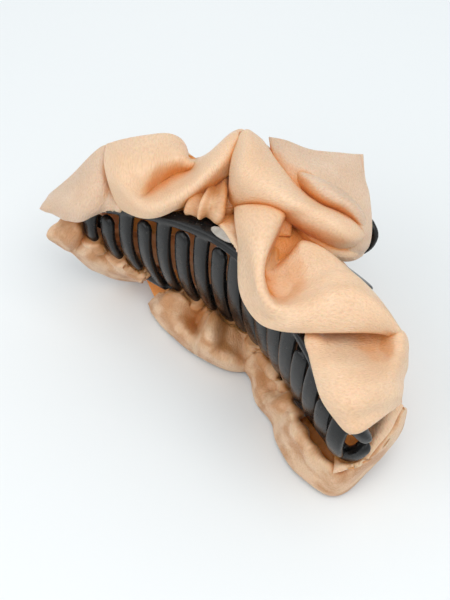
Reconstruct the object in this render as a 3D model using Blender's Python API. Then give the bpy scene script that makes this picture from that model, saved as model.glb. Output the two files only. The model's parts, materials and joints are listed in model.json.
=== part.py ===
"""Claw clip with satin ruffles, lying closed on its lower ruffle.

X runs along the hinge, Z is up, and the teeth face -Y with the handles behind
them at +Y. The origin is on the resting surface, straight below the middle of
the hinge axis. Both jaws are drawn in the clip's own frame, which has its origin
on the hinge axis and leans forward a little, because the clip does.
"""
import math

import bmesh
import bpy
from mathutils import Vector

MM = 0.001

# Clip placement
HINGE_HEIGHT = 28 * MM
LEAN = math.radians(5)

# Row of teeth: slots along X, even ones are the upper jaw's teeth
TOOTH_PITCH = 5.8 * MM
LAST_SLOT = 8
ROW_HALF = 9 * TOOTH_PITCH
WALL_Y = -22 * MM
ARCH_DEPTH = 14 * MM
ARCH_ROUNDING = 0.3
REACH_MIDDLE = 16 * MM
REACH_LOSS = 12.3 * MM
REACH_POWER = 2.3

# One tooth
TOOTH_HALF_WIDTH = 2.5 * MM
TOOTH_HALF_DEPTH = 1.3 * MM
TOOTH_BULGE = 3.0 * MM
TOOTH_FRONT = 0.4 * MM
TOOTH_STEPS = 13
TOOTH_SIDES = 10
TOOTH_SQUARENESS = 0.62
TOOTH_TIP_SIZES = (0.42, 0.86)

# Rail that carries the teeth
RAIL_BEHIND = 2.6 * MM
RAIL_BEYOND = 2.6 * MM
RAIL_HALF_DEPTH = 1.8 * MM
RAIL_HALF_HEIGHT = 1.5 * MM
RAIL_STEPS = 34
RAIL_SIDES = 10
RAIL_SQUARENESS = 0.7
RAIL_END_SIZES = (0.62, 0.9)

# End of a rail: it leaves the arch, turns back and meets the other jaw's rail
END_START = 45 * MM
END_LENGTH = 6.5 * MM
END_BACK = 4 * MM
END_SLOPE = 0.17
END_TURN = math.radians(85)
END_STEPS = 7
END_SMOOTHING = 2

# Web and handle: one curved plate, as (distance behind the hinge, distance from
# the middle plane, half width), all in millimetres
PLATE = [
    (-19.4, 18.6, 24.0),
    (-14.5, 17.6, 19.0),
    (-9.5, 14.6, 13.6),
    (-5.0, 9.8, 11.4),
    (-1.5, 6.4, 11.6),
    (2.5, 5.2, 13.2),
    (6.5, 6.2, 16.4),
    (9.6, 8.8, 18.6),
    (11.8, 12.0, 18.6),
    (12.9, 14.4, 15.8),
    (13.3, 15.4, 11.5),
]
PLATE_HALF_THICKNESS = 1.15 * MM
PLATE_SIDES = 16
PLATE_SQUARENESS = 0.45
SWEPT_ROWS = 3

# Hinge
PIN_RADIUS = 1.1 * MM
PIN_GAP = 0.3 * MM
PIN_HEAD_RADIUS = 1.9 * MM
PIN_HEAD_LENGTH = 0.9 * MM
PIN_HEAD_CHAMFER = 0.3 * MM
PIN_HEAD_FACE_SHARE = 0.8
LUG_RADIUS = 3.1 * MM
LUG_WIDTH = 2.2 * MM
LUG_TOP = 5.6 * MM
LUG_TOP_DROP = 0.6 * MM
LUG_ARC_STEPS = 12
UPPER_LUG_X = 9.3 * MM
LOWER_LUG_X = 6.6 * MM

# Spring of round wire on the pin
SPRING_RADIUS = 2.45 * MM
WIRE_RADIUS = 0.45 * MM
SPRING_TURNS = 4.5
SPRING_HALF_LENGTH = 3.0 * MM
SPRING_LEG_Y = 7.6 * MM
SPRING_LEG_Z = 5.0 * MM
SPRING_BEND_Y = 1.2 * MM
SPRING_BEND_Z = 0.6 * MM
POINTS_PER_TURN = 16

# Ruffles: stations along X, in millimetres in the clip's frame. Each holds
# (x, front y, front z, middle y, middle z, back y, back z); z is the distance
# from the middle plane, outward.
UPPER_RUFFLE = [
    (-59, -42.5, 6.0, -40.0, 7.0, -37.5, 8.5),
    (-52, -41.5, 8.5, -29.5, 17.5, -20.5, 18.5),
    (-45, -39.5, 10.5, -22.0, 23.5, -7.5, 18.5),
    (-38, -35.0, 13.0, -20.0, 23.5, -5.5, 18.5),
    (-31, -31.0, 15.0, -20.5, 22.0, -9.5, 18.0),
    (-22, -25.5, 18.5, -11.5, 27.0, -1.0, 24.0),
    (-14, -20.5, 21.0, -6.0, 26.5, 7.0, 21.5),
    (0, -22.5, 20.0, 0.0, 24.0, 22.5, 16.0),
    (9, -27.5, 17.5, -6.0, 23.5, 16.5, 15.5),
    (17, -30.0, 15.5, -12.0, 22.0, 6.0, 13.5),
    (24, -29.0, 14.5, -18.0, 21.5, -6.5, 18.5),
    (32, -29.0, 13.5, -20.5, 20.5, -8.5, 18.5),
    (40, -32.0, 12.0, -22.5, 19.0, -10.5, 17.0),
    (47, -34.5, 9.0, -26.0, 15.0, -11.0, 11.0),
    (52, -32.5, 8.0, -26.5, 10.5, -19.5, 9.0),
]
LOWER_RUFFLE = [
    (-57, -44.0, 2.5, -41.0, 4.0, -38.0, 5.0),
    (-51, -42.5, 8.0, -32.0, 14.0, -22.0, 14.0),
    (-45, -37.5, 15.5, -24.0, 22.5, -12.0, 18.5),
    (-37, -34.5, 20.0, -19.0, 25.0, -7.0, 20.5),
    (-28, -35.0, 21.5, -16.0, 26.0, -4.0, 21.0),
    (-16, -36.0, 23.0, -12.0, 27.0, 4.0, 22.0),
    (-5, -34.5, 24.0, -8.0, 27.5, 13.0, 21.5),
    (6, -32.0, 24.0, -7.0, 27.5, 15.5, 21.0),
    (17, -33.5, 24.0, -11.0, 27.0, 7.5, 21.0),
    (28, -38.0, 23.5, -18.0, 26.5, -4.5, 20.5),
    (38, -40.0, 23.5, -22.0, 26.0, -8.5, 18.0),
    (45, -39.5, 23.0, -24.5, 24.5, -10.0, 14.5),
    (50, -37.5, 21.0, -26.0, 20.5, -13.5, 12.0),
    (53, -34.0, 17.5, -27.0, 16.5, -19.0, 11.0),
]
RUFFLE_HALF_THICKNESS = 3.2 * MM
RUFFLE_EDGE_SHARE = 0.3
RUFFLE_LEAST = 2.0 * MM
RUFFLE_STEPS = 40
RUFFLE_COLUMNS = 11
RUFFLE_END_FULLNESS = 0.4
RUFFLE_EDGE_FULLNESS = 0.5
STATION_EASING = 0.5

# Where a ruffle stays off the jaw under it: distances over and beside the rail
# and the plate, and how steeply it may drop away past them
RAIL_CLEARANCE = 2.2 * MM
RAIL_SIDE_CLEARANCE = 1.6 * MM
PLATE_CLEARANCE = 1.8 * MM
PLATE_SIDE_CLEARANCE = 3.0 * MM
SHELL_SLOPE = 1.2

# Glue beads between each rail and its ruffle
GLUE_X = {"left": -43 * MM, "centre": -5 * MM, "right": 43 * MM}
GLUE_HALF = Vector((4.2 * MM, 1.5 * MM, 0.75 * MM))
GLUE_GAP = 0.35 * MM

# Boolean clean-up
WELD_DISTANCE = 0.02 * MM
SLIVER_LENGTH = 0.01 * MM
SHARP_ANGLE = math.radians(40)
WIRE_SHARP_ANGLE = math.radians(50)

BLACK = (0.012, 0.012, 0.013)
STEEL = (0.62, 0.62, 0.64)
PEACH = (0.85, 0.58, 0.40)
GLUE = (0.75, 0.72, 0.66)


def clear_scene():
    for obj in list(bpy.data.objects):
        bpy.data.objects.remove(obj, do_unlink=True)


def material(name, colour, roughness, metallic=0.0):
    found = bpy.data.materials.get(name)
    if found:
        return found
    made = bpy.data.materials.new(name)
    made.use_nodes = True
    shader = made.node_tree.nodes["Principled BSDF"]
    shader.inputs["Base Color"].default_value = (*colour, 1.0)
    shader.inputs["Roughness"].default_value = roughness
    shader.inputs["Metallic"].default_value = metallic
    return made


def add_object(name, mesh, finish, parent):
    obj = bpy.data.objects.new(name, mesh)
    bpy.context.scene.collection.objects.link(obj)
    if finish:
        mesh.materials.append(finish)
    obj.parent = parent
    return obj


def loft(name, rings):
    """Closed mesh through rings of equally many points, with flat ends."""
    shape = bmesh.new()
    rows = [[shape.verts.new(point) for point in ring] for ring in rings]
    count = len(rows[0])
    for first, second in zip(rows, rows[1:]):
        for i in range(count):
            j = (i + 1) % count
            shape.faces.new((first[i], first[j], second[j], second[i]))
    shape.faces.new(rows[0])
    shape.faces.new(rows[-1])
    bmesh.ops.recalc_face_normals(shape, faces=shape.faces)
    mesh = bpy.data.meshes.new(name)
    shape.to_mesh(mesh)
    shape.free()
    return mesh


def rounded_ring(centre, across, outward, half_width, half_depth, sides, squareness):
    """Ring of points: a rounded rectangle, squarer as squareness nears 0."""
    ring = []
    for i in range(sides):
        angle = 2 * math.pi * (i + 0.5) / sides
        along = math.copysign(abs(math.cos(angle)) ** squareness, math.cos(angle))
        out = math.copysign(abs(math.sin(angle)) ** squareness, math.sin(angle))
        ring.append(centre + across * half_width * along + outward * half_depth * out)
    return ring


def arch(x):
    """How far forward of its middle the row has swept at x."""
    share = abs(x) / ROW_HALF
    curve = math.hypot(share, ARCH_ROUNDING) - ARCH_ROUNDING
    return ARCH_DEPTH * curve / (math.hypot(1, ARCH_ROUNDING) - ARCH_ROUNDING)


def wall_y(x):
    return WALL_Y - arch(x)


def reach(x):
    """Half the height of the wall of teeth at x."""
    share = min(abs(x) / ROW_HALF, 1.0)
    return REACH_MIDDLE - REACH_LOSS * share ** REACH_POWER


def rail_centre(x, side):
    return Vector((x, wall_y(x) + RAIL_BEHIND, side * (reach(x) + RAIL_BEYOND)))


def rail_route(side):
    """Points along a rail: the arch, and the turned end on either side of it."""
    corner = rail_centre(END_START, side)
    end = []
    for i in range(1, END_STEPS + 1):
        angle = END_TURN * i / END_STEPS
        along = END_LENGTH * math.sin(angle)
        back = END_BACK * (1 - math.cos(angle)) - END_SLOPE * along
        end.append(Vector((corner.x + along, corner.y + back, corner.z * math.cos(angle))))
    middle = [rail_centre(END_START * (2 * i / RAIL_STEPS - 1), side)
              for i in range(RAIL_STEPS + 1)]
    start = [Vector((-p.x, p.y, p.z)) for p in reversed(end)]
    route = start + middle + end
    for _ in range(END_SMOOTHING):
        inner = [(a + 2 * b + c) / 4 for a, b, c in zip(route, route[1:], route[2:])]
        route = [route[0]] + inner + [route[-1]]
    return route


def rail_mesh(side):
    route = rail_route(side)
    last = len(route) - 1
    rings = []
    for i, centre in enumerate(route):
        along = (route[min(i + 1, last)] - route[max(i - 1, 0)]).normalized()
        depth = along.cross(Vector((0, 0, 1))).normalized()
        edge = min(i, last - i)
        size = RAIL_END_SIZES[edge] if edge < len(RAIL_END_SIZES) else 1.0
        rings.append(rounded_ring(centre, depth, along.cross(depth),
                                  RAIL_HALF_DEPTH * size, RAIL_HALF_HEIGHT * size,
                                  RAIL_SIDES, RAIL_SQUARENESS))
    return loft("rail", rings)


def tooth_mesh(slot, side):
    """One curved tooth, from inside its own rail to just short of the other."""
    x = slot * TOOTH_PITCH
    top = reach(x) + RAIL_BEYOND
    bottom = -reach(x)
    points = []
    for i in range(TOOTH_STEPS + 1):
        z = top + (bottom - top) * i / TOOTH_STEPS
        y = wall_y(x) - TOOTH_FRONT + TOOTH_BULGE * (z / top) ** 2
        points.append(Vector((x, y, side * z)))
    rings = []
    for i, point in enumerate(points):
        after = points[min(i + 1, TOOTH_STEPS)]
        before = points[max(i - 1, 0)]
        outward = (after - before).cross(Vector((1, 0, 0))).normalized()
        from_tip = TOOTH_STEPS - i
        size = TOOTH_TIP_SIZES[from_tip] if from_tip < len(TOOTH_TIP_SIZES) else 1.0
        rings.append(rounded_ring(point, Vector((1, 0, 0)), outward,
                                  TOOTH_HALF_WIDTH * size, TOOTH_HALF_DEPTH * size,
                                  TOOTH_SIDES, TOOTH_SQUARENESS))
    return loft("tooth", rings)


def plate_mesh(side):
    """Web and handle in one curved plate, whose front edge follows the rail."""
    rows = len(PLATE)
    rings = []
    for i, (y, z, half_width) in enumerate(PLATE):
        before = PLATE[max(i - 1, 0)]
        after = PLATE[min(i + 1, rows - 1)]
        slope = Vector((0, after[0] - before[0], side * (after[1] - before[1]))).normalized()
        outward = Vector((1, 0, 0)).cross(slope)
        sweep = max(0.0, 1 - i / SWEPT_ROWS)
        ring = rounded_ring(Vector((0, y * MM, side * z * MM)), Vector((1, 0, 0)), outward,
                            half_width * MM, PLATE_HALF_THICKNESS, PLATE_SIDES, PLATE_SQUARENESS)
        rings.append([p - Vector((0, arch(p.x), side * (REACH_MIDDLE - reach(p.x)))) * sweep
                      for p in ring])
    return loft("plate", rings)


def lug_mesh(x, side):
    """Ear that drops from the plate to the pin, round about the hinge axis."""
    outline = []
    for i in range(LUG_ARC_STEPS + 1):
        angle = math.pi * i / LUG_ARC_STEPS
        outline.append((LUG_RADIUS * math.cos(angle), -LUG_RADIUS * math.sin(angle)))
    outline.append((-LUG_RADIUS, LUG_TOP))
    outline.append((LUG_RADIUS, LUG_TOP - LUG_TOP_DROP))
    half = LUG_WIDTH / 2
    rings = [[Vector((x + end * half, y, side * z)) for y, z in outline] for end in (-1, 1)]
    return loft("lug", rings)


def bar_mesh(radii, stations, sides=20):
    """Round bar about the X axis, with one radius at each station."""
    rings = []
    for x, radius in zip(stations, radii):
        rings.append([Vector((x, radius * math.cos(2 * math.pi * i / sides),
                              radius * math.sin(2 * math.pi * i / sides)))
                      for i in range(sides)])
    return loft("bar", rings)


def combine(base, mesh, operation):
    """Boolean of base's mesh with another mesh, applied."""
    tool = add_object("tool", mesh, None, None)
    step = base.modifiers.new("combine", "BOOLEAN")
    step.operation = operation
    step.solver = "EXACT"
    step.object = tool
    graph = bpy.context.evaluated_depsgraph_get()
    result = bpy.data.meshes.new_from_object(base.evaluated_get(graph))
    base.modifiers.remove(step)
    base.data = result
    bpy.data.objects.remove(tool, do_unlink=True)


def joined(meshes):
    """One mesh that holds several separate ones."""
    shape = bmesh.new()
    for mesh in meshes:
        shape.from_mesh(mesh)
    result = bpy.data.meshes.new("joined")
    shape.to_mesh(result)
    shape.free()
    return result


def tidy_mesh(obj):
    """Drop the slivers that a Boolean leaves, and triangulate."""
    shape = bmesh.new()
    shape.from_mesh(obj.data)
    bmesh.ops.remove_doubles(shape, verts=shape.verts, dist=WELD_DISTANCE)
    bmesh.ops.dissolve_degenerate(shape, edges=shape.edges, dist=SLIVER_LENGTH)
    bmesh.ops.triangulate(shape, faces=shape.faces)
    bmesh.ops.recalc_face_normals(shape, faces=shape.faces)
    shape.to_mesh(obj.data)
    shape.free()


def make_jaw(name, side, slots, lug_x, hinge):
    black = material("black_plastic", BLACK, 0.22)
    jaw = add_object(name, rail_mesh(side), black, None)
    combine(jaw, plate_mesh(side), "UNION")
    combine(jaw, joined([lug_mesh(-lug_x, side), lug_mesh(lug_x, side)]), "UNION")
    combine(jaw, joined([tooth_mesh(slot, side) for slot in slots]), "UNION")
    reach_x = lug_x + LUG_WIDTH
    bore = bar_mesh([PIN_RADIUS + PIN_GAP] * 2, [-reach_x, reach_x])
    combine(jaw, bore, "DIFFERENCE")
    tidy_mesh(jaw)
    jaw.data.shade_smooth()
    jaw.data.set_sharp_from_angle(angle=SHARP_ANGLE)
    jaw.parent = hinge
    return jaw


def make_pin(hinge):
    end = UPPER_LUG_X + LUG_WIDTH / 2 + PIN_GAP
    head = end + PIN_HEAD_LENGTH
    rim = head - PIN_HEAD_CHAMFER
    face_radius = PIN_HEAD_RADIUS * PIN_HEAD_FACE_SHARE
    stations = [-head, -rim, -end, -end, end, end, rim, head]
    radii = [face_radius, PIN_HEAD_RADIUS, PIN_HEAD_RADIUS, PIN_RADIUS,
             PIN_RADIUS, PIN_HEAD_RADIUS, PIN_HEAD_RADIUS, face_radius]
    mesh = bar_mesh(radii, stations)
    mesh.shade_smooth()
    mesh.set_sharp_from_angle(angle=SHARP_ANGLE)
    return add_object("hinge_pin", mesh, material("steel", STEEL, 0.3, 1.0), hinge)


def spring_route():
    """Leg under the upper handle, coil about the pin, leg over the lower handle."""
    points = [Vector((-SPRING_HALF_LENGTH, SPRING_LEG_Y, SPRING_LEG_Z)),
              Vector((-SPRING_HALF_LENGTH, SPRING_LEG_Y - SPRING_BEND_Y,
                      SPRING_LEG_Z - SPRING_BEND_Z))]
    steps = int(SPRING_TURNS * POINTS_PER_TURN)
    for i in range(steps + 1):
        share = i / steps
        angle = math.radians(90) + 2 * math.pi * i / POINTS_PER_TURN
        x = -SPRING_HALF_LENGTH + 2 * SPRING_HALF_LENGTH * share
        points.append(Vector((x, SPRING_RADIUS * math.cos(angle),
                              SPRING_RADIUS * math.sin(angle))))
    points.append(Vector((SPRING_HALF_LENGTH, SPRING_LEG_Y - SPRING_BEND_Y,
                          -SPRING_LEG_Z + SPRING_BEND_Z)))
    points.append(Vector((SPRING_HALF_LENGTH, SPRING_LEG_Y, -SPRING_LEG_Z)))
    return points


def tube_mesh(route, radius, sides=8):
    """Round wire along a route, its section carried without twist."""
    aside = Vector((1, 0, 0))
    rings = []
    for i, point in enumerate(route):
        along = (route[min(i + 1, len(route) - 1)] - route[max(i - 1, 0)]).normalized()
        aside = (aside - along * aside.dot(along)).normalized()
        rings.append(rounded_ring(point, aside, along.cross(aside), radius, radius, sides, 1.0))
    return loft("tube", rings)


def make_spring(hinge):
    mesh = tube_mesh(spring_route(), WIRE_RADIUS)
    mesh.shade_smooth()
    mesh.set_sharp_from_angle(angle=WIRE_SHARP_ANGLE)
    return add_object("torsion_spring", mesh, material("spring_wire", STEEL, 0.35, 1.0), hinge)


def station_at(table, x):
    """Station values at x, eased between the two nearest stations."""
    x_mm = x / MM
    for first, second in zip(table, table[1:]):
        if x_mm <= second[0]:
            break
    share = min(max((x_mm - first[0]) / (second[0] - first[0]), 0.0), 1.0)
    eased = share * share * (3 - 2 * share)
    mixed = share + (eased - share) * STATION_EASING
    return [(a + (b - a) * mixed) * MM for a, b in zip(first[1:], second[1:])]


def plate_at(y):
    """Distance from the middle plane and half width of the plate at y."""
    y_mm = min(max(y / MM, PLATE[0][0]), PLATE[-1][0])
    for first, second in zip(PLATE, PLATE[1:]):
        if y_mm <= second[0]:
            break
    share = (y_mm - first[0]) / (second[0] - first[0])
    return ((first[1] + (second[1] - first[1]) * share) * MM,
            (first[2] + (second[2] - first[2]) * share) * MM)


def shell_height(x, y):
    """Lowest distance from the middle plane that keeps clear of a jaw."""
    rail = rail_centre(x, 1)
    beside = max(0.0, abs(y - rail.y) - RAIL_HALF_DEPTH - RAIL_SIDE_CLEARANCE)
    over_rail = rail.z + RAIL_HALF_HEIGHT + RAIL_CLEARANCE - SHELL_SLOPE * beside
    height, half_width = plate_at(y)
    past_end = max(0.0, y - PLATE[-1][0] * MM - PLATE_SIDE_CLEARANCE)
    past_side = max(0.0, abs(x) - half_width - PLATE_SIDE_CLEARANCE)
    over_plate = (height + PLATE_HALF_THICKNESS + PLATE_CLEARANCE
                  - SHELL_SLOPE * (past_end + past_side))
    return max(over_rail, over_plate)


def floor_distance(y):
    """Distance from the middle plane, along the clip's own -Z, to the floor."""
    return (HINGE_HEIGHT + y * math.sin(LEAN)) / math.cos(LEAN)


def ruffle_mesh(name, table, side):
    """Closed blanket over one jaw: an outer and an inner sheet, joined at the rim."""
    outer = []
    inner = []
    first_x = table[0][0] * MM
    last_x = table[-1][0] * MM
    for i in range(RUFFLE_STEPS + 1):
        x = first_x + (last_x - first_x) * i / RUFFLE_STEPS
        front_y, front_z, mid_y, mid_z, back_y, back_z = station_at(table, x)
        end_share = math.sin(math.pi * i / RUFFLE_STEPS) ** RUFFLE_END_FULLNESS
        for j in range(RUFFLE_COLUMNS + 1):
            v = j / RUFFLE_COLUMNS
            front = (1 - v) * (1 - 2 * v)
            middle = 4 * v * (1 - v)
            back = v * (2 * v - 1)
            y = front * front_y + middle * mid_y + back * back_y
            z = front * front_z + middle * mid_z + back * back_z
            fullness = math.sin(math.pi * v) ** RUFFLE_EDGE_FULLNESS * end_share
            bulk = max(fullness, RUFFLE_EDGE_SHARE)
            low = max(z - RUFFLE_HALF_THICKNESS * bulk, shell_height(x, y))
            high = max(z + RUFFLE_HALF_THICKNESS * bulk, low + RUFFLE_LEAST)
            if side < 0:
                high = min(high, floor_distance(y))
            outer.append(Vector((x, y, side * high)))
            inner.append(Vector((x, y, side * low)))
    shape = bmesh.new()
    tops = [shape.verts.new(p) for p in outer]
    unders = [shape.verts.new(p) for p in inner]
    width = RUFFLE_COLUMNS + 1

    def cell(grid, i, j):
        a = i * width + j
        return (grid[a], grid[a + 1], grid[a + 1 + width], grid[a + width])

    for i in range(RUFFLE_STEPS):
        for j in range(RUFFLE_COLUMNS):
            shape.faces.new(cell(tops, i, j))
            shape.faces.new(reversed(cell(unders, i, j)))
    rim = [(i, 0) for i in range(RUFFLE_STEPS)]
    rim += [(RUFFLE_STEPS, j) for j in range(RUFFLE_COLUMNS)]
    rim += [(i, RUFFLE_COLUMNS) for i in range(RUFFLE_STEPS, 0, -1)]
    rim += [(0, j) for j in range(RUFFLE_COLUMNS, 0, -1)]
    for (i, j), (k, m) in zip(rim, rim[1:] + rim[:1]):
        a = i * width + j
        b = k * width + m
        shape.faces.new((tops[a], tops[b], unders[b], unders[a]))
    bmesh.ops.triangulate(shape, faces=shape.faces)
    bmesh.ops.recalc_face_normals(shape, faces=shape.faces)
    mesh = bpy.data.meshes.new(name)
    shape.to_mesh(mesh)
    shape.free()
    return mesh


def make_glue(name, x, side, hinge):
    """Flattened bead of glue on the outside of a rail."""
    shape = bmesh.new()
    bmesh.ops.create_uvsphere(shape, u_segments=16, v_segments=8, radius=1.0)
    rail = rail_centre(x, side)
    turn = math.atan2(arch(x - MM) - arch(x + MM), 2 * MM)
    for vert in shape.verts:
        along = vert.co.x * GLUE_HALF.x
        across = vert.co.y * GLUE_HALF.y
        vert.co = Vector((along * math.cos(turn) - across * math.sin(turn),
                          along * math.sin(turn) + across * math.cos(turn),
                          vert.co.z * GLUE_HALF.z))
    slope = (rail_centre(x + MM, side).z - rail_centre(x - MM, side).z) / (2 * MM)
    lift = side * (RAIL_HALF_HEIGHT + GLUE_GAP + GLUE_HALF.z)
    for vert in shape.verts:
        vert.co = vert.co + rail + Vector((0, 0, lift + slope * vert.co.x))
    mesh = bpy.data.meshes.new(name)
    shape.to_mesh(mesh)
    shape.free()
    mesh.shade_smooth()
    return add_object(name, mesh, material("glue", GLUE, 0.3), hinge)


def main():
    clear_scene()
    hinge = bpy.data.objects.new("hinge_axis", None)
    bpy.context.scene.collection.objects.link(hinge)
    hinge.location = (0, 0, HINGE_HEIGHT)
    hinge.rotation_euler = (LEAN, 0, 0)
    even_slots = range(-LAST_SLOT, LAST_SLOT + 1, 2)
    odd_slots = range(-LAST_SLOT + 1, LAST_SLOT, 2)
    make_jaw("jaw_upper", 1, even_slots, UPPER_LUG_X, hinge)
    make_jaw("jaw_lower", -1, odd_slots, LOWER_LUG_X, hinge)
    make_pin(hinge)
    make_spring(hinge)
    satin = material("satin", PEACH, 0.5)
    for name, table, side in (("upper", UPPER_RUFFLE, 1), ("lower", LOWER_RUFFLE, -1)):
        mesh = ruffle_mesh("ruffle_" + name, table, side)
        add_object("ruffle_" + name, mesh, satin, hinge)
        for place, x in GLUE_X.items():
            make_glue(f"glue_{name}_{place}", x, side, hinge)


main()
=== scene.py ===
"""Looks for the claw clip: glossy jaws, steel hinge, glue and folded satin around the CAD frame."""
import json
import math

import bmesh
import bpy
import numpy as np
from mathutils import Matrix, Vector, noise
from mathutils.bvhtree import BVHTree


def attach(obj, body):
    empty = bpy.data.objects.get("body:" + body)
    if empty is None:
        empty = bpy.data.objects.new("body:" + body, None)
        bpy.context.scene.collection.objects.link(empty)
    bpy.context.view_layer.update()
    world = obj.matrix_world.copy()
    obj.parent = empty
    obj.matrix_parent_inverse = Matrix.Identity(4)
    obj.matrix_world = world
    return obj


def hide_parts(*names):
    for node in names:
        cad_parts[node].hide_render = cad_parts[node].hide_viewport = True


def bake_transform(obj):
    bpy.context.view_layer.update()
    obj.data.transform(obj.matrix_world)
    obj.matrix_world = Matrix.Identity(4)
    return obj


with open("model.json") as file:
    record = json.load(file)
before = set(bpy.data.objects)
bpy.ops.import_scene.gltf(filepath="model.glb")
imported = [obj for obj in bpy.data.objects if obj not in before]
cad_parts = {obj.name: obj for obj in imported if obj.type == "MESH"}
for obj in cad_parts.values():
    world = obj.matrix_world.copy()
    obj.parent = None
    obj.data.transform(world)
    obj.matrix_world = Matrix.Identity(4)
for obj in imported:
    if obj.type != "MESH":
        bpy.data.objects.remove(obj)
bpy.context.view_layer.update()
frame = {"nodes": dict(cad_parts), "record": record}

MM = 0.001
SIDEWAYS = Vector((1, 0, 0))
UPPER = "upper_jaw"
LOWER = "lower_jaw"

# The clip's own frame, as in the CAD: on the hinge axis, leaning forward
HINGE = Vector(frame["record"]["behaviour"]["joints"][0]["pos_m"])
LEAN = math.radians(5)

# Teeth, rails and plates, as in the CAD
TOOTH_PITCH = 5.8 * MM
LAST_SLOT = 8
ROW_HALF = 9 * TOOTH_PITCH
WALL_Y = -22 * MM
ARCH_DEPTH = 14 * MM
ARCH_ROUNDING = 0.3
REACH_MIDDLE = 16 * MM
REACH_LOSS = 12.3 * MM
REACH_POWER = 2.3
TOOTH_HALF_WIDTH = 2.5 * MM
TOOTH_HALF_DEPTH = 1.3 * MM
TOOTH_BULGE = 3.0 * MM
TOOTH_FRONT = 0.4 * MM
TOOTH_TIP = 2.6 * MM
RAIL_BEHIND = 2.6 * MM
RAIL_BEYOND = 2.6 * MM
RAIL_HALF_DEPTH = 1.9 * MM
RAIL_HALF_HEIGHT = 1.6 * MM
END_START = 45 * MM
END_LENGTH = 6.5 * MM
END_BACK = 4 * MM
END_SLOPE = 0.17
END_TURN = math.radians(84)
# Rows of the middle plate and handle: how far back and up they are and half their width, in mm
PLATE = [
    (-19.4, 18.6, 24.0), (-14.5, 17.6, 19.0), (-9.5, 14.6, 13.6), (-5.0, 9.8, 11.4),
    (-1.5, 6.4, 11.6), (2.5, 5.2, 13.2), (6.5, 6.2, 16.4), (9.6, 8.8, 18.6),
    (11.8, 12.0, 18.6), (12.9, 14.4, 15.8), (13.3, 15.4, 11.5),
]
PLATE_HALF_THICKNESS = 1.2 * MM
GRIP_PLACES = (0.66, 0.72, 0.78, 0.84)
GRIP_RADIUS = 0.45 * MM
LUG_RADIUS = 3.1 * MM
LUG_WIDTH = 2.2 * MM
LUG_TOP = 5.6 * MM
LUG_SLOPE = 0.6 * MM
UPPER_LUG_X = 9.3 * MM
LOWER_LUG_X = 6.6 * MM
SPRING_RADIUS = 2.45 * MM
WIRE_RADIUS = 0.45 * MM
SPRING_TURNS = 4.5
SPRING_HALF_LENGTH = 3.0 * MM
SPRING_LEG_Y = 7.6 * MM
SPRING_LEG_Z = 5.0 * MM
SPRING_LEG_END = 0.4 * MM

# How finely the jaws and the spring are drawn: steps along, sides around, squareness
END_STEPS = 16
RAIL_STEPS = 80
RAIL_EASING = 8
TOOTH_STEPS = 40
PLATE_STEPS = 60
LUG_STEPS = 24
LEG_STEPS = 13
COIL_STEPS = 40
SIDES = 20
PLATE_SIDES = 48
RIB_SIDES = 12
WIRE_SIDES = 14
RAIL_SQUARENESS = 0.62
TOOTH_SQUARENESS = 0.72
PLATE_SQUARENESS = 0.4
VOXEL = 0.42 * MM

# Cloth: its gaps to the jaws and the table, and how far from its edges it reaches full
# height. FIRST_GAP, in mm, is what the sheet keeps from the jaws besides its thickness.
REACH_OF_PUSH = 4 * MM
FIRST_GAP = 0.6
TOP_GAP = 0.5 * MM
BOTTOM_GAP = 0.25 * MM
TABLE_GAP = 0.15 * MM
WRINKLE_RUN = 3 * MM
HANG_RUN = 6 * MM
EDGE_ROWS = (0.0, 0.12, 0.35, 0.7, 1.1)
STEPS_ALONG = 9
STEPS_ACROSS = 11
PATCH_POINTS = 5
# Rays that measure how enclosed each point of the cloth is, for the painted fold shade
FOLD_SHADE_RAYS = 14
FOLD_SHADE_REACH = 11 * MM
FOLD_SHADE_START = 0.4 * MM

# The camera, the light and the table
TARGET = (0, WALL_Y, 26 * MM)
CAMERA_AZIMUTH = math.radians(46.29)
CAMERA_ELEVATION = math.radians(52)
CAMERA_DISTANCE = 0.2377
LENS = 54
SENSOR = 36
SHIFT = (-0.0188, 0.0007)
LIGHT_SIZE = 0.6
WINDOW = ("window", 2.6, (1.0, 0.98, 0.95), (0.24, 0.02, 0.72))
FILL = ("fill", 1.3, (0.95, 0.98, 1.0), (-0.2, -0.6, 0.5))
SKY = (0.93, 0.97, 1.0, 1)
SKY_STRENGTH = 0.74
FLOOR_HALF = 1.5
FLOOR_DROP = 0.0002

# Satin: its colours in the open, where the weave leans warmer, and the painted fold shade,
# a deeper colour painted where a fold is enclosed. The lower ruffle's colours and the back
# colours are painted shaded copies of them, the lower one with a browner painted fold shade,
# and the glow is painted light shining through the satin, for the lining
SATIN_PALE = (0.88, 0.62, 0.41)
SATIN_WARM = (0.84, 0.56, 0.35)
SATIN_FOLD_SHADE = (0.80, 0.33, 0.09)
SATIN_SHADED_PALE = (0.82, 0.54, 0.33)
SATIN_SHADED = (0.60, 0.29, 0.12)
SATIN_LOWER_FOLD_SHADE = (0.60, 0.24, 0.065)
SATIN_PAINTED_GLOW = (1.0, 0.36, 0.06)
SATIN_BACK_SHADED_WARM = (0.72, 0.50, 0.34)
SATIN_BACK_SHADED_PALE = (0.78, 0.57, 0.41)


# ---------------- helpers

def lean(point):
    """From the clip's own frame to the row's frame."""
    y = point[1] * math.cos(LEAN) - point[2] * math.sin(LEAN)
    z = point[1] * math.sin(LEAN) + point[2] * math.cos(LEAN)
    return HINGE + Vector((point[0], y, z))


def add_shape(name, shape, finish):
    """Smooth object of a bmesh, which is then freed, in a finish."""
    mesh = bpy.data.meshes.new(name)
    shape.to_mesh(mesh)
    shape.free()
    obj = bpy.data.objects.new(name, mesh)
    bpy.context.scene.collection.objects.link(obj)
    mesh.materials.append(finish)
    mesh.shade_smooth()
    return obj


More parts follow.
